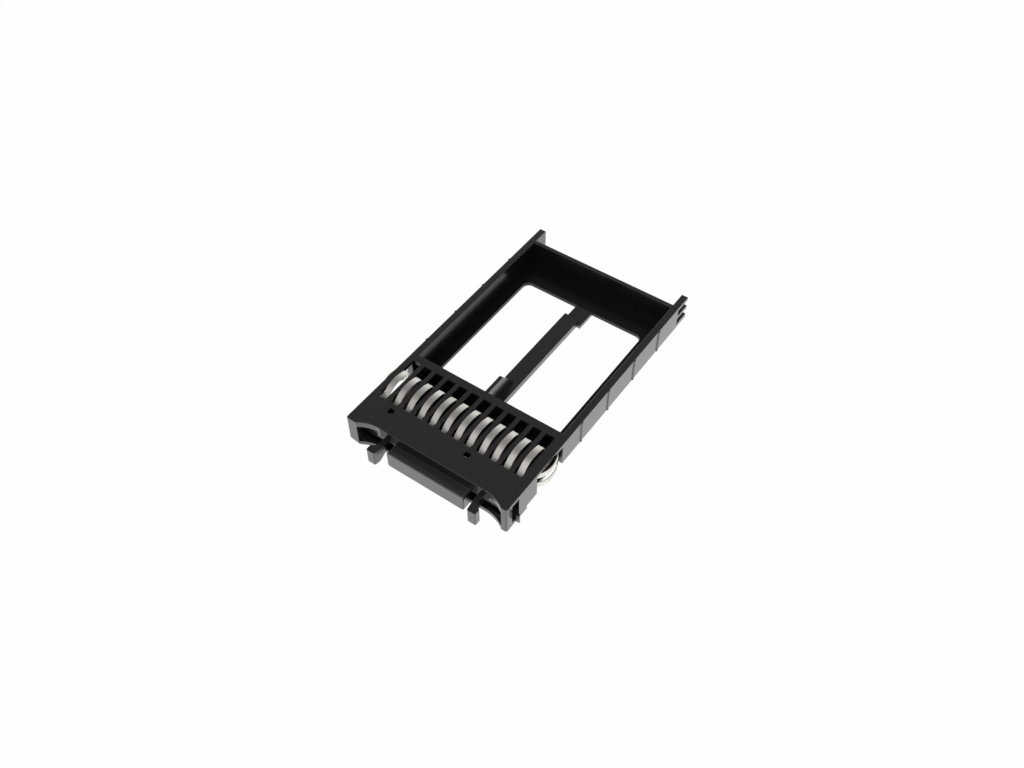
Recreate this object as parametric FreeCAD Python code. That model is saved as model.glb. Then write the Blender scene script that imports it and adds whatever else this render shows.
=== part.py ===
import FreeCAD, Part
import math
import os

from FreeCAD import Vector

# Blank panel for a drive bay, in millimetres. While it is drawn, x runs across the front,
# y runs from the front of the corner posts to the back, and z runs up from the lowest edge.

# Overall size
width = 75.2
bezel_height = 13.5
tray_height = 11.7
housing_length = 41.0
tray_length = 124.5
rail_tail = 7.5

# Moulded walls
plate = 1.6
wall = 1.8
rail_thickness = 3.0
floor_thickness = 1.6
top_round = 0.25
draft = 2.5
cut_over = 1.0

# Front edge: a shallow scoop between two posts, with its middle a little to the right
front_offset = 1.2
post_width = 3.7
post_round = 0.9
scoop_depth = 3.0
scoop_radius = 16.0
lip_height = 2.6
bezel_depth = 13.0
corner_chamfer_run = 6.0
corner_chamfer_rise = 1.7
finger_opening = 8.0
header_depth = 5.3

# Pull bar
bar_width = 36.4
bar_reach = 1.8
bar_drop = 5.0
bar_lift = 0.4
bar_round = 1.2
bar_wall = 1.8

# Openings of the side walls and the top plate
hook_slot_front = 3.5
hook_slot_length = 4.4
side_gap_front = 19.5
side_gap_rear_land = 4.4
key_hole = 2.5
key_hole_y = 12.0
key_hole_left = 25.2
key_hole_right = 11.1

# Contact strip
strip_thickness = 0.25
finger_width = 2.6
finger_pitch = 5.83
finger_margin = 5.5
finger_offset = -0.7
finger_rise = 1.35
finger_lap = 0.5
shoulder_bend = 1.0
shoulder_angle = 40.0
crown_radius = 9.2
back_angle = 26.0
tip_bend = 0.7
tip_angle = 55.0
tip_length = 1.2
tip_room = 5.8
side_tip_room = 2.5
web_y = 16.0
root_drop = 3.7
root_slit = 0.3
root_gap = 0.1
wing_gap = 0.1
wing_fold_radius = 0.4
wing_width = 3.0
side_finger_top = 3.2
side_finger_pitch = 5.4
slot_width = 3.9
slot_lead = 0.5
slot_rear_land = 3.5
stake_radius = 0.6
stake_gap = 0.1
stake_head_overlap = 0.4
stake_head_height = 0.6
stake_step = 3
mouth_front = 17.0
mouth_rear = 21.5

# Latches
tab_spacing = 47.6
tab_width = 3.8
tab_reach = 4.6
tab_cheek = 2.6
neck_slant = 0.8
neck_start = 1.2
tab_top = 5.6
tab_lift = 0.9
tab_round = 0.6
neck_width = 2.3
arm_width = 2.4
arm_round = 1.5
arm_height = 4.2
hook_length = 2.6
hook_reach = 2.2
hook_land = 0.7
hook_gap = 1.3
hook_drop = 7.1
hook_height = 4.3
arm_inset = 8.45
pivot_room = 1.04
pin_radius = 1.3
pin_clearance = 0.06
eye_wall = 1.3
eye_snap = 0.4
latch_gap = 0.3
swing_room = 3.0

# Tray behind the housing
window_margin = 8.3
window_front_land = 3.0
window_rear_land = 13.0
window_round = 3.0
spine_width = 7.1
spine_height = 2.7
spine_end = 102.0
spine_offset = -0.65
foot_width = 7.9
foot_offset = 0.75
foot_lap = 2.0
gusset_thickness = 1.6
gusset_offset = -0.9
gusset_top = 9.8
gusset_run = 7.2
rib_first = 49.8
rib_pitch = 19.4
rib_count = 4
rib_width = 1.3
rib_proud = 0.4
rib_root = 0.2
fin_thickness = 1.6
groove_count = 2
groove_height = 3.2
fin_web = 1.0
fin_skin = 8.0

# Positions that follow from the sizes above
half = width / 2
top = bezel_height
tray_bottom = bezel_height - tray_height
under_plate = top - plate
rail_end = tray_length + rail_tail
wall_front = scoop_depth + wall
tab_inner = (tab_spacing - tab_width) / 2
tab_outer = (tab_spacing + tab_width) / 2
latch_top = top - tab_top
arm_bottom = latch_top - arm_height
hook_front = hook_slot_front + hook_gap
hook_rear = hook_front + hook_length
opening_outer = half - post_width
opening_step = opening_outer - finger_opening
neck_inner = tab_inner - neck_slant
neck_outer = neck_inner + neck_width
opening_inner = neck_inner - swing_room
finger_count = int((width - 2 * finger_margin) / finger_pitch) + 1
finger_x = [finger_offset + (i - (finger_count - 1) / 2) * finger_pitch for i in range(finger_count)]
web_front = web_y - strip_thickness / 2
web_bottom = latch_top + 2 * latch_gap
web_top = under_plate - wing_gap
stake_z = (web_bottom + web_top) / 2
floor_top = tray_bottom + floor_thickness
stake_x = [x + finger_pitch / 2 for x in finger_x[stake_step - 1:-2:stake_step]]
side_gap_rear = housing_length - side_gap_rear_land
slot_rear = housing_length - slot_rear_land
eye_radius = pin_radius + pin_clearance + eye_wall
pivot_x = half - arm_inset
pivot_y = housing_length - wall - eye_radius - pivot_room
overall_middle = (rail_end - tab_reach) / 2


def block(x0, x1, y0, y1, z0, z1):
    return Part.makeBox(x1 - x0, y1 - y0, z1 - z0, Vector(x0, y0, z0))


def face_of(points):
    return Part.Face(Part.makePolygon(points + points[:1]))


def plan(points, z0, z1):
    """Solid with the given outline in plan, from z0 up to z1."""
    return face_of([Vector(x, y, z0) for x, y in points]).extrude(Vector(0, 0, z1 - z0))


def mirrored(shape):
    return shape.mirror(Vector(0, 0, 0), Vector(1, 0, 0))


def rounded(shape, radius, chosen):
    """Rounds the edges of a shape for which chosen(start, end) holds."""
    edges = []
    for edge in shape.Edges:
        ends = [vertex.Point for vertex in edge.Vertexes]
        if len(ends) == 2 and chosen(ends[0], ends[1]):
            edges.append(edge)
    return shape.makeFillet(radius, edges)


def near(a, b):
    return abs(a - b) < 1e-6


def is_upright(a, b):
    return near(a.x, b.x) and near(a.y, b.y)


def at_height(z):
    return lambda a, b: near(a.z, z) and near(b.z, z)


def rounded_rectangle(x0, x1, y0, y1, z0, z1, radius):
    return rounded(block(x0, x1, y0, y1, z0, z1), radius, is_upright)


# Front housing

def housing_outline():
    """Plan of the front housing: the front edge is scooped back between the posts."""
    inner = half - post_width
    run = math.sqrt(2 * scoop_radius * scoop_depth - scoop_depth ** 2)
    flat = inner - run
    bow = math.asin(run / scoop_radius) / 2
    middle_x = flat + scoop_radius * math.sin(bow)
    middle_y = scoop_depth - scoop_radius * (1 - math.cos(bow))

    def at(x, y):
        return Vector(x, y, 0)

    def scoop(x, y):
        return Vector(front_offset + x, y, 0)

    edges = [
        Part.makeLine(at(-half, housing_length), at(-half, 0)),
        Part.makeLine(at(-half, 0), scoop(-inner, 0)),
        Part.Arc(scoop(-inner, 0), scoop(-middle_x, middle_y), scoop(-flat, scoop_depth)).toShape(),
        Part.makeLine(scoop(-flat, scoop_depth), scoop(flat, scoop_depth)),
        Part.Arc(scoop(flat, scoop_depth), scoop(middle_x, middle_y), scoop(inner, 0)).toShape(),
        Part.makeLine(scoop(inner, 0), at(half, 0)),
        Part.makeLine(at(half, 0), at(half, housing_length)),
        Part.makeLine(at(half, housing_length), at(-half, housing_length)),
    ]
    return Part.Face(Part.Wire(edges))


def housing_shell():
    """Shell of plate and walls: its front zone is deeper than the tray and has a bottom."""
    def is_post_corner(a, b):
        return is_upright(a, b) and near(a.y, 0) and near(abs(a.x), half)

    def is_front_rim(a, b):
        return at_height(top)(a, b) and not near((a.y + b.y) / 2, housing_length)

    outline = housing_outline()
    shell = outline.extrude(Vector(0, 0, top))
    shell = rounded(shell, post_round, is_post_corner)
    shell = rounded(shell, top_round, is_front_rim)
    cavity = outline.makeOffset2D(-wall).extrude(Vector(0, 0, under_plate - tray_bottom))
    cavity.translate(Vector(0, 0, tray_bottom))
    step = block(-half, half, bezel_depth, housing_length, 0, tray_bottom)
    corner = face_of([
        Vector(-half, 0, 0),
        Vector(-half + corner_chamfer_run, 0, 0),
        Vector(-half, 0, corner_chamfer_rise),
    ]).extrude(Vector(0, bezel_depth, 0))
    return shell.cut([cavity, step, corner])


def front_openings():
    """Stepped openings at both ends of the scoop: finger room beside the tab, then a lower
    gate under a header through which the latch neck passes."""
    points = [
        (opening_inner, tray_bottom),
        (opening_outer, tray_bottom),
        (opening_outer, top - lip_height),
        (opening_step, top - lip_height),
        (opening_step, top - header_depth),
        (opening_inner, top - header_depth),
    ]
    profile = face_of([Vector(x, -cut_over, z) for x, z in points])
    opening = profile.extrude(Vector(0, wall_front + 2 * cut_over, 0))
    return [cut.translated(Vector(front_offset, 0, 0)) for cut in (opening, mirrored(opening))]


def side_openings():
    """Hook slot and contact gap of the right side wall."""
    outside = half + cut_over
    slot = block(half - 2 * wall, outside, hook_slot_front, hook_slot_front + hook_slot_length,
                 tray_bottom, under_plate)
    gap = block(half - wall, outside, side_gap_front, side_gap_rear, 0, under_plate)
    return [slot, gap]


def finger_slots():
    front = web_front - slot_lead
    return [block(x - slot_width / 2, x + slot_width / 2, front, slot_rear,
                  under_plate - cut_over, top + cut_over)
            for x in finger_x]


def key_holes():
    reach = key_hole / 2
    return [block(x - reach, x + reach, key_hole_y - reach, key_hole_y + reach,
                  under_plate - cut_over, top + cut_over)
            for x in (-key_hole_left, key_hole_right)]


def pull_bar():
    """Grip between the tabs: a round-cornered trough, open at the bottom."""
    left = front_offset - bar_width / 2
    right = front_offset + bar_width / 2
    bar_top = top - bar_drop
    bar = block(left, right, -bar_reach, wall_front, bar_lift, bar_top)
    bar = rounded(bar, bar_round, lambda a, b: not near(a.y, b.y))
    bar = rounded(bar, bar_round / 2, lambda a, b: near(max(a.y, b.y), -bar_reach))
    trough = block(left + bar_wall, right - bar_wall, -bar_reach + bar_wall, scoop_depth,
                   0, bar_top - bar_wall)
    return bar.cut(trough)


def pivot_pin():
    """Right pivot pin, which stands on the floor."""
    pin_height = latch_top + latch_gap - floor_top
    return Part.makeCylinder(pin_radius, pin_height, Vector(pivot_x, pivot_y, floor_top))


def stake(x):
    """Peg on the back of the rib, spread into a head behind the web of the contact strip."""
    back = Vector(0, 1, 0)
    peg_front = web_front - wall / 2
    peg_length = wall / 2 + strip_thickness
    head_radius = stake_radius + stake_head_overlap
    peg = Part.makeCylinder(stake_radius, peg_length, Vector(x, peg_front, stake_z), back)
    head = Part.makeCone(head_radius, stake_radius, stake_head_height,
                         Vector(x, peg_front + peg_length, stake_z), back)
    return peg.fuse(head)


def strip_rib():
    """Cross rib under the plate that carries the contact strip and holds the latch arms down."""
    side = half - wall
    return block(-side, side, web_front - wall, web_front, web_bottom, under_plate)


# Tray

def housing_floor():
    """Floor of the housing. The contact strip goes in through the mouth across it."""
    side = half - wall
    ledge = block(-side, side, bezel_depth - wall, mouth_front, tray_bottom, floor_top)
    floor = block(-side, side, mouth_rear, housing_length, tray_bottom, floor_top)
    return [ledge, floor]


def tray_floor():
    """Floor with a window on each side of the spine."""
    rear = tray_length - wall - window_rear_land
    front = housing_length + window_front_land
    base = block(-half, half, housing_length - wall, tray_length, tray_bottom, floor_top)
    window = rounded_rectangle(-half + window_margin, half - window_margin, front, rear,
                               tray_bottom - cut_over, floor_top + cut_over, window_round)
    return base.cut(window)


def spine():
    """Raised bar along the middle, a foot at its rear end and a gusset at its front."""
    front = housing_length - wall
    spine_top = tray_bottom + spine_height
    spine_left = spine_offset - spine_width / 2
    bar = block(spine_left, spine_left + spine_width, front, spine_end, tray_bottom, spine_top)
    foot_left = foot_offset - foot_width / 2
    foot_rear = tray_length - wall - window_rear_land + window_round
    foot = block(foot_left, foot_left + foot_width, spine_end - foot_lap, foot_rear, tray_bottom, floor_top)
    flat_end = housing_length + gusset_top
    gusset_left = gusset_offset - gusset_thickness / 2
    gusset = face_of([Vector(gusset_left, y, z) for y, z in [
        (front, tray_bottom),
        (front, top),
        (flat_end, top),
        (flat_end + gusset_run, spine_top),
        (flat_end + gusset_run, tray_bottom),
    ]]).extrude(Vector(gusset_thickness, 0, 0))
    return bar.fuse([foot, gusset])


def rails():
    """Both rails and the back wall as one wall with the same rounded top edge. The inside
    has draft, so the walls are thicker at the floor."""
    front = side_gap_rear
    inner = half - rail_thickness
    points = [
        (-half, front),
        (half, front),
        (half, rail_end),
        (inner, rail_end),
        (inner, tray_length),
        (-inner, tray_length),
        (-inner, rail_end),
        (-half, rail_end),
    ]
    taper = tray_height * math.tan(math.radians(draft))
    rear = tray_length - wall
    across = face_of([
        Vector(taper - inner, front, tray_bottom),
        Vector(inner - taper, front, tray_bottom),
        Vector(inner, front, top),
        Vector(-inner, front, top),
    ]).extrude(Vector(0, rear - front, 0))
    along = face_of([
        Vector(-inner, front, tray_bottom),
        Vector(-inner, rear - taper, tray_bottom),
        Vector(-inner, rear, top),
        Vector(-inner, front, top),
    ]).extrude(Vector(2 * inner, 0, 0))
    frame = plan(points, tray_bottom, top).cut(across.common(along))
    return rounded(frame, top_round, lambda a, b: at_height(top)(a, b) and max(a.y, b.y) > housing_length)


def rail_grooves():
    """Grooves of the right rail tail, which leave its fins standing on a thin inner web."""
    inner = half - rail_thickness + fin_web
    pitch = fin_thickness + groove_height
    grooves = []
    for i in range(groove_count):
        ceiling = top - fin_thickness - i * pitch
        grooves.append(block(inner, half + cut_over, rail_end - fin_skin, rail_end + cut_over,
                             ceiling - groove_height, ceiling))
    return grooves


def rail_ribs():
    """Upright crush ribs on the outer face of the right rail."""
    rib = plan([
        (half - rib_root, -rib_width / 2),
        (half, -rib_width / 2),
        (half + rib_proud, -rib_width / 4),
        (half + rib_proud, rib_width / 4),
        (half, rib_width / 2),
        (half - rib_root, rib_width / 2),
    ], tray_bottom, top - top_round)
    return [rib.translated(Vector(0, rib_first + i * rib_pitch, 0)) for i in range(rib_count)]


def housing():
    sides = side_openings()
    shell = housing_shell().cut(sides + [mirrored(cut) for cut in sides] + front_openings())
    shell = shell.cut(finger_slots() + key_holes())
    ribs = rail_ribs()
    frame = rails().fuse(ribs + [mirrored(rib) for rib in ribs])
    grooves = rail_grooves()
    frame = frame.cut(grooves + [mirrored(groove) for groove in grooves])
    body = shell.fuse([frame, strip_rib(), tray_floor(), spine(), pull_bar()] + housing_floor())
    body = body.fuse([pivot_pin(), mirrored(pivot_pin())] + [stake(x) for x in stake_x])
    return body.removeSplitter()


# Contact strip

def bent_strip(start, heading, steps, place):
    """Edge view of a bent strip as a face. A step (0, length) runs straight on and a step
    (radius, angle) bends the middle line, to the left for a positive angle."""
    u, v = start
    angle = math.radians(heading)
    sides = {1: [], -1: []}

    def beside(side, u, v, angle):
        offset = side * strip_thickness / 2
        return place(u - offset * math.sin(angle), v + offset * math.cos(angle))

    caps = [Part.makeLine(beside(1, u, v, angle), beside(-1, u, v, angle))]
    for radius, amount in steps:
        if radius:
            turn = math.radians(amount)
            lean = math.copysign(radius, turn)
            centre = (u - lean * math.sin(angle), v + lean * math.cos(angle))
            stops = []
            for part in (0, 0.5, 1):
                now = angle + turn * part
                stops.append((centre[0] + lean * math.sin(now), centre[1] - lean * math.cos(now), now))
            for side in sides:
                sides[side].append(Part.Arc(*[beside(side, *stop) for stop in stops]).toShape())
            u, v, angle = stops[2]
        else:
            end = (u + amount * math.cos(angle), v + amount * math.sin(angle))
            for side in sides:
                sides[side].append(Part.makeLine(beside(side, u, v, angle), beside(side, *end, angle)))
            u, v = end
    caps.append(Part.makeLine(beside(1, u, v, angle), beside(-1, u, v, angle)))
    return Part.Face(Part.Wire(Part.__sortEdges__(sides[1] + sides[-1] + caps)))


def arch(lean, climb, reach):
    """Bends of a finger that leaves its root at an angle of lean to the face it rises over:
    shoulder, ramp, crown at the height of climb, long back and a tip that is bent down. The
    tip ends the distance of reach behind the root."""
    root = math.radians(lean)
    shoulder = math.radians(shoulder_angle)
    back = math.radians(back_angle)
    tip = math.radians(back_angle + tip_angle)
    shoulder_climb = shoulder_bend * abs(math.cos(shoulder) - math.cos(root))
    shoulder_run = shoulder_bend * abs(math.sin(shoulder) - math.sin(root))
    crown_climb = crown_radius * (1 - math.cos(shoulder))
    crown_run = crown_radius * math.sin(shoulder)
    ramp = (climb - shoulder_climb - crown_climb) / math.sin(shoulder)
    tip_run = tip_bend * (math.sin(tip) - math.sin(back)) + tip_length * math.cos(tip)
    back_run = reach - shoulder_run - ramp * math.cos(shoulder) - crown_run - tip_run
    return [
        (shoulder_bend, shoulder_angle - lean),
        (0, ramp),
        (crown_radius, -shoulder_angle),
        (back_run / math.sin(back), -back_angle),
        (tip_bend, -tip_angle),
        (0, tip_length),
    ]


def top_finger(x):
    """Finger that leaves the upright web, leans back through its slot and arches over the plate."""
    edge = x - finger_width / 2
    reach = slot_rear - tip_room - web_y
    steps = [(0, finger_lap)] + arch(90, root_drop + finger_rise, reach)
    side = bent_strip((web_y, top - root_drop - finger_lap), 90, steps, lambda y, z: Vector(edge, y, z))
    return side.extrude(Vector(finger_width, 0, 0))


def side_finger(drop, wing_x, root):
    """Finger that leaves the right wing at y = root and arches back through the side gap."""
    low = top - drop - finger_width / 2
    reach = side_gap_rear - side_tip_room - root
    steps = [(0, finger_lap)] + arch(0, half + finger_rise - wing_x, reach)
    side = bent_strip((root - finger_lap, 0), 0, steps, lambda y, out: Vector(wing_x + out, y, low))
    return side.extrude(Vector(0, 0, finger_width))


def contact_strip():
    """Upright web behind the rib, with a deeper wing folded back along each side wall."""
    wing_x = half - wall - strip_thickness / 2
    side_root = side_gap_front + root_gap
    wing_run = side_root - web_y - wing_fold_radius
    wing_bottom = floor_top + wing_gap
    channel = bent_strip(
        (-wing_x, side_root), -90,
        [
            (0, wing_run),
            (wing_fold_radius, 90),
            (0, 2 * (wing_x - wing_fold_radius)),
            (wing_fold_radius, 90),
            (0, wing_run),
        ],
        lambda x, y: Vector(x, y, wing_bottom),
    ).extrude(Vector(0, 0, web_top - wing_bottom))
    web_half = wing_x - wing_width
    cuts = [block(-web_half, web_half, web_front - wall, side_root, wing_bottom, web_bottom)]
    slit = finger_width / 2 + root_slit
    cuts += [block(x - slit, x + slit, web_front, web_front + strip_thickness, top - root_drop, web_top)
             for x in finger_x]
    cuts += [Part.makeCylinder(stake_radius + stake_gap, wall,
                               Vector(x, web_front - wall / 2, stake_z), Vector(0, 1, 0))
             for x in stake_x]
    pieces = [top_finger(x) for x in finger_x]
    for drop in (side_finger_top, side_finger_top + side_finger_pitch):
        side = side_finger(drop, wing_x, side_root)
        pieces += [side, mirrored(side)]
    return channel.cut(cuts).fuse(pieces).removeSplitter()


# Latches

def latch_tab():
    """Tab of the right latch: its outer side is hollowed for a fingertip and runs into the
    neck, and its underside slopes up to the bottom of the neck."""
    cheek_end = tab_cheek - tab_reach
    hollow_run = tab_outer - neck_outer
    hollow_rise = neck_start - cheek_end
    radius = (hollow_run ** 2 + hollow_rise ** 2) / (2 * hollow_run)
    sweep = math.asin(hollow_rise / radius) / 2

    def at(x, y):
        return Vector(x, y, tab_lift)

    middle = at(neck_outer + radius * (1 - math.cos(sweep)), neck_start - radius * math.sin(sweep))
    edges = [
        Part.makeLine(at(neck_inner, neck_start), at(tab_inner, -tab_reach)),
        Part.makeLine(at(tab_inner, -tab_reach), at(tab_outer, -tab_reach)),
        Part.makeLine(at(tab_outer, -tab_reach), at(tab_outer, cheek_end)),
        Part.Arc(at(tab_outer, cheek_end), middle, at(neck_outer, neck_start)).toShape(),
        Part.makeLine(at(neck_outer, neck_start), at(neck_inner, neck_start)),
    ]
    tab = Part.Face(Part.Wire(edges)).extrude(Vector(0, 0, latch_top - tab_lift))
    tab = rounded(tab, tab_round, lambda a, b: is_upright(a, b) and a.y < cheek_end - tab_round)
    slope = face_of([Vector(neck_inner, y, z) for y, z in [
        (cheek_end, tab_lift),
        (neck_start, arm_bottom),
        (neck_start, tab_lift),
    ]]).extrude(Vector(tab_outer - neck_inner, 0, 0))
    return tab.cut(slope)


def latch(front_middle):
    """Right pinch lever for a front whose middle is at x = front_middle, with an open eye that
    snaps on its pin. Squeezing the tab towards the bar swings the hook into the slot."""
    wall_inside = half - wall
    neck_left = front_middle + neck_inner
    neck_right = front_middle + neck_outer
    arm_outer = pivot_x + arm_width / 2
    arm_inner = pivot_x - arm_width / 2

    def is_inside_corner(a, b):
        return is_upright(a, b) and near(a.y, hook_rear) and (near(a.x, arm_inner) or near(a.x, arm_outer))

    lever = plan([
        (arm_inner, pivot_y),
        (arm_inner, hook_rear),
        (neck_left, hook_rear),
        (neck_left, neck_start),
        (neck_right, neck_start),
        (neck_right, hook_front),
        (wall_inside, hook_front),
        (wall_inside, hook_rear),
        (arm_outer, hook_rear),
        (arm_outer, pivot_y),
    ], arm_bottom, latch_top)
    lever = rounded(lever, arm_round, is_inside_corner)
    hook = plan([
        (wall_inside - hook_length, hook_front),
        (half + hook_reach, hook_front),
        (half + hook_reach, hook_front + hook_land),
        (half - wall / 2, hook_rear),
        (wall_inside - hook_length, hook_rear),
    ], top - hook_drop - hook_height, top - hook_drop)
    centre = Vector(pivot_x, pivot_y, arm_bottom)
    eye = Part.makeCylinder(eye_radius, arm_height, centre)
    bore = Part.makeCylinder(pin_radius + pin_clearance, arm_height, centre)
    mouth_half = pin_radius - eye_snap / 2
    mouth = block(pivot_x - mouth_half, pivot_x + mouth_half, pivot_y, pivot_y + eye_radius,
                  arm_bottom, latch_top)
    tab = latch_tab().translated(Vector(front_middle, 0, 0))
    return lever.fuse([tab, hook, eye]).cut([bore, mouth]).removeSplitter()


def main():
    pieces = {
        "housing": housing(),
        "contact_strip": contact_strip(),
        "right_latch": latch(front_offset),
        "left_latch": mirrored(latch(-front_offset)),
    }
    os.makedirs("parts", exist_ok=True)
    for name, shape in pieces.items():
        shape.translate(Vector(0, -overall_middle, 0))
        shape.exportStep("parts/" + name + ".step")


main()
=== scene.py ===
import bpy
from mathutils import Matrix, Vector


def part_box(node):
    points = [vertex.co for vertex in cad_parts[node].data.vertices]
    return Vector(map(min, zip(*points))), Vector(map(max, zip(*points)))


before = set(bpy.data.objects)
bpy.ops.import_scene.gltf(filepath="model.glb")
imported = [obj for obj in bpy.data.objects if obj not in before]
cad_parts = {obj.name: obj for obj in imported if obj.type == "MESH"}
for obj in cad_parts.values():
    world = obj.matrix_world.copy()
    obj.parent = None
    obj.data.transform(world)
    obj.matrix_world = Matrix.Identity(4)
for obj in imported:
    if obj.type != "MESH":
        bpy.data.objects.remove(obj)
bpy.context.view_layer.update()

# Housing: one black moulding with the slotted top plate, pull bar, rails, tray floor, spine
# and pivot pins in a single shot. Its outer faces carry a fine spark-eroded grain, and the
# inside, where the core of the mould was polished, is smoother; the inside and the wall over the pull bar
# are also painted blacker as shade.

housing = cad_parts["housing"]
housing_low, housing_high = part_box("housing")
housing_pits = 5200.0
housing_seed = 0.0
rub_reach = 0.0003


def place(tree, kind, inputs=None, **settings):
    """Adds a node with its settings. Each input is a plain value or another node's output."""
    node = tree.nodes.new(kind)
    for name, setting in settings.items():
        setattr(node, name, setting)
    for slot, source in (inputs or {}).items():
        if isinstance(source, bpy.types.NodeSocket):
            tree.links.new(source, node.inputs[slot])
        else:
            node.inputs[slot].default_value = source
    return node


def math_of(tree, operation, first, second):
    """Works out one number from two. Each is an output or a plain number."""
    return place(tree, "ShaderNodeMath", {0: first, 1: second}, operation=operation).outputs["Value"]


def blend_of(tree, factor, first, second):
    """Mixes two colours. Each is an output or a plain colour."""
    colour_slots = {0: factor, 6: first, 7: second}
    return place(tree, "ShaderNodeMix", colour_slots, data_type="RGBA").outputs[2]


def spread_of(tree, value, low, high, to_low=0.0, to_high=1.0):
    """Maps a value smoothly from one span to another."""
    spans = {"Value": value, "From Min": low, "From Max": high, "To Min": to_low, "To Max": to_high}
    return place(tree, "ShaderNodeMapRange", spans, interpolation_type="SMOOTHSTEP").outputs["Result"]


def noise_of(tree, where, per_metre, detail=2.0, roughness=0.5, seed=0.0):
    """Gives an uneven value from 0 to 1, with so many turns per metre."""
    inputs = {"Vector": where, "W": seed, "Scale": per_metre, "Detail": detail, "Roughness": roughness}
    return place(tree, "ShaderNodeTexNoise", inputs, noise_dimensions="4D").outputs["Fac"]


def point_of(tree):
    """Gives the place on the piece, in metres from the part's origin."""
    return place(tree, "ShaderNodeTexCoord").outputs["Object"]


def normal_of(tree):
    """Gives the direction that the surface faces."""
    return place(tree, "ShaderNodeNewGeometry").outputs["Normal"]


def new_group(name, inputs, outputs):
    """Starts a shader node group with named number sockets, and gives it with what comes in."""
    group = bpy.data.node_groups.new(name, "ShaderNodeTree")
    for socket, value in inputs.items():
        made = group.interface.new_socket(socket, in_out="INPUT", socket_type="NodeSocketFloat")
        made.default_value = value
    for socket in outputs:
        group.interface.new_socket(socket, in_out="OUTPUT", socket_type="NodeSocketFloat")
    return group, place(group, "NodeGroupInput").outputs


def spark_grain():
    """Grain of a spark-eroded mould: small pits over a faint orange peel."""
    peel_to_pits = 0.14
    peel_height = 0.5
    inputs = {"Pits per metre": housing_pits, "Seed": housing_seed}
    group, given = new_group("spark_grain", inputs, ("Height", "Tone"))
    where = point_of(group)
    pits = noise_of(group, where, given["Pits per metre"], roughness=0.6, seed=given["Seed"])
    pits = spread_of(group, pits, low=0.32, high=0.68)
    peels = math_of(group, "MULTIPLY", given["Pits per metre"], peel_to_pits)
    peel = noise_of(group, where, peels, detail=1.0, seed=given["Seed"])
    height = math_of(group, "ADD", math_of(group, "MULTIPLY", peel, peel_height), pits)
    place(group, "NodeGroupOutput", {"Height": height, "Tone": spread_of(group, peel, low=0.3, high=0.7)})
    return group


def edge_rub():
    """Mask of the sharp outer edges, broken up where hands and guides have rubbed them."""
    patches = 420.0
    group, given = new_group("edge_rub", {"Reach": rub_reach, "Seed": housing_seed}, ("Rub",))
    softened = place(group, "ShaderNodeBevel", {"Radius": given["Reach"]}, samples=6).outputs["Normal"]
    sides = {0: softened, 1: normal_of(group)}
    turned = place(group, "ShaderNodeVectorMath", sides, operation="DOT_PRODUCT").outputs["Value"]
    edge = spread_of(group, turned, low=0.99, high=0.86)
    patch = noise_of(group, point_of(group), patches, detail=3.0, roughness=0.65, seed=given["Seed"])
    patch = spread_of(group, patch, low=0.40, high=0.66)
    place(group, "NodeGroupOutput", {"Rub": math_of(group, "MULTIPLY", edge, patch)})
    return group


def shelf_dust():
    """Specks of dust on what faces up, and short scuffs left by handling and storage."""
    clouds = 60.0
    specks = 2600.0
    scuffs = 3000.0
    scuff_turn = (0.0, 0.0, 0.35)
    scuff_stretch = (1.0, 0.05, 1.0)
    group, given = new_group("shelf_dust", {"Seed": housing_seed}, ("Dust", "Scuff"))
    where = point_of(group)
    cloud = noise_of(group, where, clouds, detail=4.0, roughness=0.6, seed=given["Seed"])
    cloud = spread_of(group, cloud, low=0.50, high=0.80)
    speck = noise_of(group, where, specks, detail=1.0, seed=given["Seed"])
    speck = spread_of(group, speck, low=0.66, high=0.74)
    upward = place(group, "ShaderNodeSeparateXYZ", {"Vector": normal_of(group)}).outputs["Z"]
    lying = spread_of(group, upward, low=0.3, high=0.9)
    settled = math_of(group, "MULTIPLY", math_of(group, "MULTIPLY", cloud, speck), lying)
    lie = {"Vector": where, "Rotation": scuff_turn, "Scale": scuff_stretch}
    drawn = place(group, "ShaderNodeMapping", lie).outputs["Vector"]
    scuff = noise_of(group, drawn, scuffs, detail=1.0, seed=given["Seed"])
    scuff = spread_of(group, scuff, low=0.70, high=0.76)
    place(group, "NodeGroupOutput", {"Dust": settled, "Scuff": math_of(group, "MULTIPLY", scuff, cloud)})
    return group


grain = spark_grain()
rub = edge_rub()
dust = shelf_dust()

# Limits of the polished core and of the painted shade, across from the middle, back from the posts and up
# from the lowest edge
plate_top = housing_high[2]
crush_rib = 0.0004
rail_thickness = 0.0030
rail_edge = 0.0003
rail_inside = housing_high[0] - crush_rib - rail_thickness + rail_edge
pull_reach = 0.0018
post_front = housing_low[1] + pull_reach
front_wall = 0.0048
back_wall = 0.1227
front_middle = 0.0012
over_bar_half = 0.0245
bar_half = 0.0182
bar_drop = 0.0050
bar_top = plate_top - bar_drop
floor_top = 0.0034
spine_middle = -0.00065
spine_half = 0.00355
spine_top = 0.0045
spine_front = 0.0410
spine_back = 0.1020
gusset_middle = -0.0009
gusset_half = 0.0008
gusset_back = 0.0580
foot_middle = 0.00075
foot_half = 0.00395
foot_front = 0.1000
foot_back = 0.1097
soft_edge = 0.0001


def box_mask(tree, across, back, up):
    """Mask of what lies in a box, with a soft edge outside it. None leaves that end open."""
    where = place(tree, "ShaderNodeSeparateXYZ", {"Vector": point_of(tree)}).outputs
    behind_posts = math_of(tree, "SUBTRACT", where["Y"], post_front)
    mask = 1.0
    for distance, (start, end) in ((where["X"], across), (behind_posts, back), (where["Z"], up)):
        if start is not None:
            after = spread_of(tree, distance, start - soft_edge, start)
            mask = math_of(tree, "MULTIPLY", mask, after)
        if end is not None:
            before = spread_of(tree, distance, end, end + soft_edge, to_low=1.0, to_high=0.0)
            mask = math_of(tree, "MULTIPLY", mask, before)
    return mask


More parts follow.
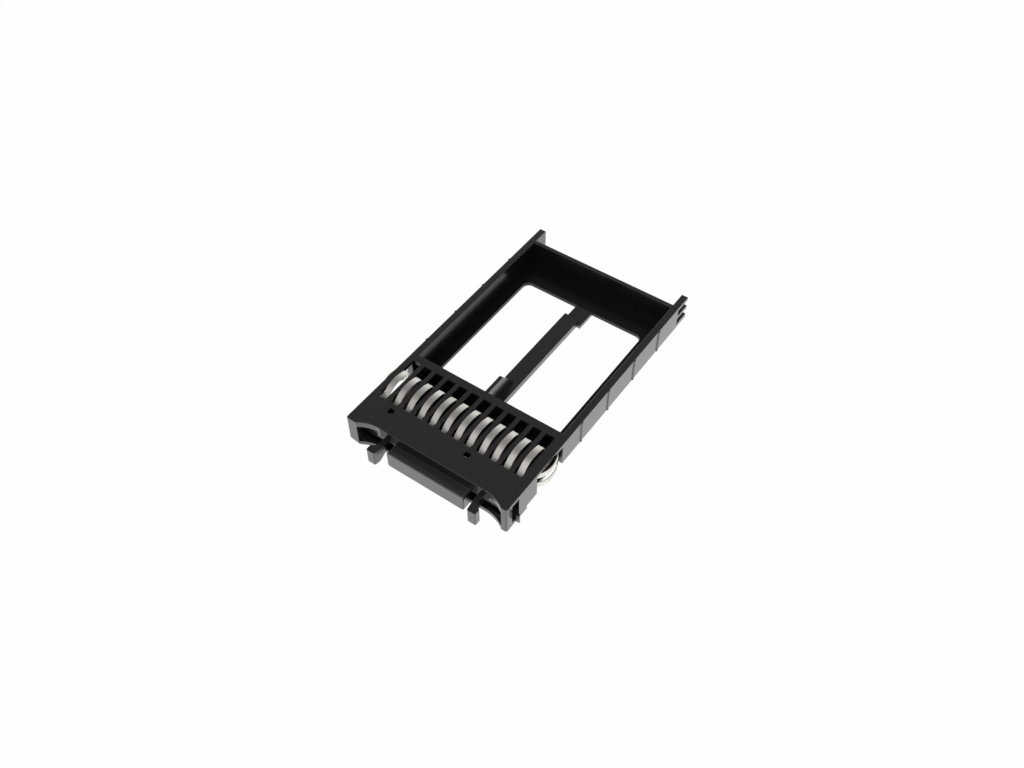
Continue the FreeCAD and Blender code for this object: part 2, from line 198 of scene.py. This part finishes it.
def span(middle, half):
    """Both ends of a stretch that reaches a soft edge past a piece on each side of its middle."""
    return middle - half - soft_edge, middle + half + soft_edge


def polish_and_shade_mask(tree):
    """Mask of what the polished core shaped, also used as painted shade: the tray, the hollow, the slot
    walls and the wall over the pull bar. The spine, its gusset and its foot are grained like the outside."""
    below_plate = plate_top - soft_edge
    behind_housing = spine_front + soft_edge
    hollow = box_mask(tree, (-rail_inside, rail_inside), (front_wall, back_wall + soft_edge),
                      (None, below_plate))
    # Painted shade: the wall over the pull bar is darkened like the polished inside.
    over_bar = box_mask(tree, span(front_middle, over_bar_half), (None, front_wall),
                        (bar_top + 2 * soft_edge, below_plate))
    spine = box_mask(tree, span(spine_middle, spine_half), (behind_housing, spine_back + soft_edge),
                     (None, spine_top + soft_edge))
    gusset = box_mask(tree, span(gusset_middle, gusset_half), (behind_housing, gusset_back + soft_edge),
                      (None, None))
    foot = box_mask(tree, span(foot_middle, foot_half), (foot_front - soft_edge, foot_back),
                    (None, floor_top + soft_edge))
    shaded_polish = math_of(tree, "MAXIMUM", hollow, over_bar)
    grained = math_of(tree, "MAXIMUM", math_of(tree, "MAXIMUM", spine, gusset), foot)
    return math_of(tree, "MULTIPLY", shaded_polish, math_of(tree, "SUBTRACT", 1.0, grained))


def handled_mask(tree):
    """Mask of the top of the pull bar, greyed a little by fingers."""
    return box_mask(tree, span(front_middle, bar_half), (None, front_wall - soft_edge),
                    (bar_top - soft_edge, bar_top + soft_edge))


# Colours, wear, painted shade and gloss of the black plastic
plastic_black = (0.0085, 0.0087, 0.0087, 1.0)
plastic_grey = (0.0120, 0.0123, 0.0122, 1.0)
# Painted shade: a blacker colour laid on the polished inside and on the wall over the pull bar.
polish_and_shade_black = (0.0050, 0.0050, 0.0053, 1.0)
handled_grey = (0.0240, 0.0240, 0.0242, 1.0)
rubbed_grey = (0.0620, 0.0620, 0.0610, 1.0)
dust_grey = (0.2000, 0.1950, 0.1850, 1.0)
rub_share = 0.15
scuff_share = 0.25
dust_share = 0.35
gloss_index = 2.05
gloss_roughness = 0.22
body_gloss = 0.05
smoothest_grain = 0.24
roughest_grain = 0.32
grain_strength = 0.20
grain_depth = 0.00003
polish_smooths = 0.14
polish_dulls = 0.65
rub_smooths = 0.10


def new_finish(name):
    """Starts a material, and gives it with its nodes and its surface shader."""
    material = bpy.data.materials.new(name)
    material.use_nodes = True
    return material, material.node_tree, material.node_tree.nodes["Principled BSDF"]


def effect_of(tree, group, inputs):
    """Places a shared effect in a material with its own values, and gives what comes out."""
    return place(tree, "ShaderNodeGroup", inputs, node_tree=group).outputs


def lay_on(tree, skin, colour, rough, height, strength, depth):
    """Gives a surface its colour, its roughness and a relief of some depth in metres."""
    bump = place(tree, "ShaderNodeBump", {"Height": height, "Strength": strength, "Distance": depth})
    for slot, source in (("Base Color", colour), ("Roughness", rough), ("Normal", bump.outputs["Normal"])):
        tree.links.new(source, skin.inputs[slot])


def black_moulding(name, pits, seed, shaded_polish=None, handled=None):
    """Black plastic: grained outside; where a polish mask is given, smoother and painted darker as shade;
    grey where a handled mask is given.
    """
    material, tree, skin = new_finish(name)
    skin.inputs["Coat Weight"].default_value = 1.0
    skin.inputs["Coat IOR"].default_value = gloss_index
    skin.inputs["Coat Roughness"].default_value = gloss_roughness
    skin.inputs["Specular IOR Level"].default_value = body_gloss
    texture = effect_of(tree, grain, {"Pits per metre": pits, "Seed": seed})
    worn = effect_of(tree, rub, {"Seed": seed})
    dirty = effect_of(tree, dust, {"Seed": seed})
    colour = blend_of(tree, texture["Tone"], plastic_black, plastic_grey)
    rough = spread_of(tree, texture["Tone"], 0.0, 1.0, to_low=smoothest_grain, to_high=roughest_grain)
    height = texture["Height"]
    if shaded_polish:
        smooth_and_shade = shaded_polish(tree)
        # Painted shade: the polished inside and the wall over the pull bar are painted blacker, and their
        # coat is dulled.
        colour = blend_of(tree, smooth_and_shade, colour, polish_and_shade_black)
        height = math_of(tree, "MULTIPLY", height, math_of(tree, "SUBTRACT", 1.0, smooth_and_shade))
        rough = math_of(tree, "SUBTRACT", rough, math_of(tree, "MULTIPLY", smooth_and_shade, polish_smooths))
        coat = math_of(tree, "SUBTRACT", 1.0, math_of(tree, "MULTIPLY", smooth_and_shade, polish_dulls))
        tree.links.new(coat, skin.inputs["Coat Weight"])
    if handled:
        colour = blend_of(tree, handled(tree), colour, handled_grey)
    colour = blend_of(tree, math_of(tree, "MULTIPLY", worn["Rub"], rub_share), colour, rubbed_grey)
    colour = blend_of(tree, math_of(tree, "MULTIPLY", dirty["Scuff"], scuff_share), colour, rubbed_grey)
    colour = blend_of(tree, math_of(tree, "MULTIPLY", dirty["Dust"], dust_share), colour, dust_grey)
    rough = math_of(tree, "SUBTRACT", rough, math_of(tree, "MULTIPLY", worn["Rub"], rub_smooths))
    lay_on(tree, skin, colour, rough, height, grain_strength, grain_depth)
    return material


def dress(piece, material):
    """Gives a piece one material all over."""
    piece.data.materials.clear()
    piece.data.materials.append(material)


dress(housing, black_moulding("black_housing", housing_pits, housing_seed, polish_and_shade_mask, handled_mask))

# Contact strip: thin stainless spring strip, stamped in one piece and folded, with twelve
# arched fingers over the plate and two on each side. It is bright from the rolls, with fine
# roll lines along the strip and cut edges that are a little brighter.

strip_bright = (0.880, 0.868, 0.830, 1.0)
strip_warm = (0.770, 0.750, 0.700, 1.0)
strip_edge = (0.930, 0.920, 0.900, 1.0)
strip_reach = 0.0001
roll_lines = 9000.0
roll_stretch = (0.03, 1.0, 1.0)
roll_strength = 0.25
roll_depth = 0.00001
stains = 260.0
smoothest_roll = 0.34
roughest_roll = 0.44
stain_roughens = 0.08


def rolled_steel(name):
    """Bright rolled steel: roll lines along the strip, faint warm stains and brighter cut edges."""
    material, tree, skin = new_finish(name)
    skin.inputs["Metallic"].default_value = 1.0
    where = point_of(tree)
    drawn = place(tree, "ShaderNodeMapping", {"Vector": where, "Scale": roll_stretch}).outputs["Vector"]
    lines = noise_of(tree, drawn, roll_lines, roughness=0.6)
    stain = noise_of(tree, where, stains, detail=3.0, roughness=0.6)
    stain = spread_of(tree, stain, low=0.35, high=0.75)
    worn = effect_of(tree, rub, {"Reach": strip_reach})
    colour = blend_of(tree, stain, strip_bright, strip_warm)
    colour = blend_of(tree, worn["Rub"], colour, strip_edge)
    rough = spread_of(tree, lines, low=0.2, high=0.8, to_low=smoothest_roll, to_high=roughest_roll)
    rough = math_of(tree, "ADD", rough, math_of(tree, "MULTIPLY", stain, stain_roughens))
    lay_on(tree, skin, colour, rough, lines, roll_strength, roll_depth)
    return material


dress(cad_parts["contact_strip"], rolled_steel("rolled_steel"))

# Latches: two mirrored pinch levers, moulded in the same black plastic with a finer grain.
# Each turns on a pin of the housing, and its tab and hook show outside.

latch_pits = 6800.0
first_latch_seed = 3

for seed, side in enumerate(("left_latch", "right_latch"), start=first_latch_seed):
    dress(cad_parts[side], black_moulding("black_" + side, latch_pits, float(seed)))

# Studio: a white table, a room that is white low down and dim above, a soft square lamp high
# up at the front right, and the camera where the photograph was taken from.

white = (1.0, 1.0, 1.0, 1.0)
table_white = (0.90, 0.90, 0.90, 1.0)
table_size = 4.0
table_glow = 0.975

bpy.ops.mesh.primitive_plane_add(size=table_size)
table = bpy.context.object
table.name = "table"
table_paint = bpy.data.materials.new("white_table")
table_paint.use_nodes = True
tree = table_paint.node_tree
tree.nodes.clear()
matte = place(tree, "ShaderNodeBsdfDiffuse", {"Color": table_white}).outputs["BSDF"]
glow = place(tree, "ShaderNodeEmission", {"Strength": 1.0}).outputs["Emission"]
ray = place(tree, "ShaderNodeLightPath").outputs
seen = math_of(tree, "MAXIMUM", ray["Is Camera Ray"], ray["Is Glossy Ray"])
seen = math_of(tree, "MAXIMUM", seen, ray["Is Transmission Ray"])
glow_share = math_of(tree, "MULTIPLY", seen, table_glow)
mixed = place(tree, "ShaderNodeMixShader", {0: glow_share, 1: matte, 2: glow}).outputs["Shader"]
place(tree, "ShaderNodeOutputMaterial", {"Surface": mixed})
dress(table, table_paint)

white_up_to = 0.42
dim_from = 0.58
room_dim = (0.13, 0.13, 0.13, 1.0)

room = bpy.data.worlds.new("room")
room.use_nodes = True
tree = room.node_tree
tree.nodes.clear()
direction = place(tree, "ShaderNodeTexCoord").outputs["Generated"]
upward = place(tree, "ShaderNodeSeparateXYZ", {"Vector": direction}).outputs["Z"]
ramp = place(tree, "ShaderNodeValToRGB", {"Fac": upward})
low_end, high_end = ramp.color_ramp.elements
low_end.position = white_up_to
low_end.color = white
high_end.position = dim_from
high_end.color = room_dim
camera_ray = place(tree, "ShaderNodeLightPath").outputs["Is Camera Ray"]
shown = blend_of(tree, camera_ray, ramp.outputs["Color"], white)
backdrop = place(tree, "ShaderNodeBackground", {"Color": shown, "Strength": 1.0}).outputs["Background"]
place(tree, "ShaderNodeOutputWorld", {"Surface": backdrop})
bpy.context.scene.world = room


def stand(name, fitting, where, looks_along):
    """Stands a lamp or a camera in the studio, looking along a direction."""
    holder = bpy.data.objects.new(name, fitting)
    holder.location = where
    holder.rotation_euler = looks_along.to_track_quat("-Z", "Y").to_euler()
    bpy.context.collection.objects.link(holder)
    return holder


lamp_place = Vector((0.35, -0.55, 1.0))
lamp_size = 1.6
lamp_power = 7.0

lamp = bpy.data.lights.new("soft_lamp", "AREA")
lamp.shape = "SQUARE"
lamp.size = lamp_size
lamp.energy = lamp_power
stand("soft_lamp", lamp, lamp_place, -lamp_place)

camera_place = Vector((0.16382, -0.23923, 0.33556))
camera_aim = Vector((-0.3751, 0.5318, -0.7593))
camera_lens = 38.07
camera_sensor = 36.0
camera_near = 0.01

camera = bpy.data.cameras.new("camera")
camera.sensor_width = camera_sensor
camera.lens = camera_lens
camera.clip_start = camera_near
bpy.context.scene.camera = stand("camera", camera, camera_place, camera_aim)
bpy.context.scene.view_settings.view_transform = "Standard"
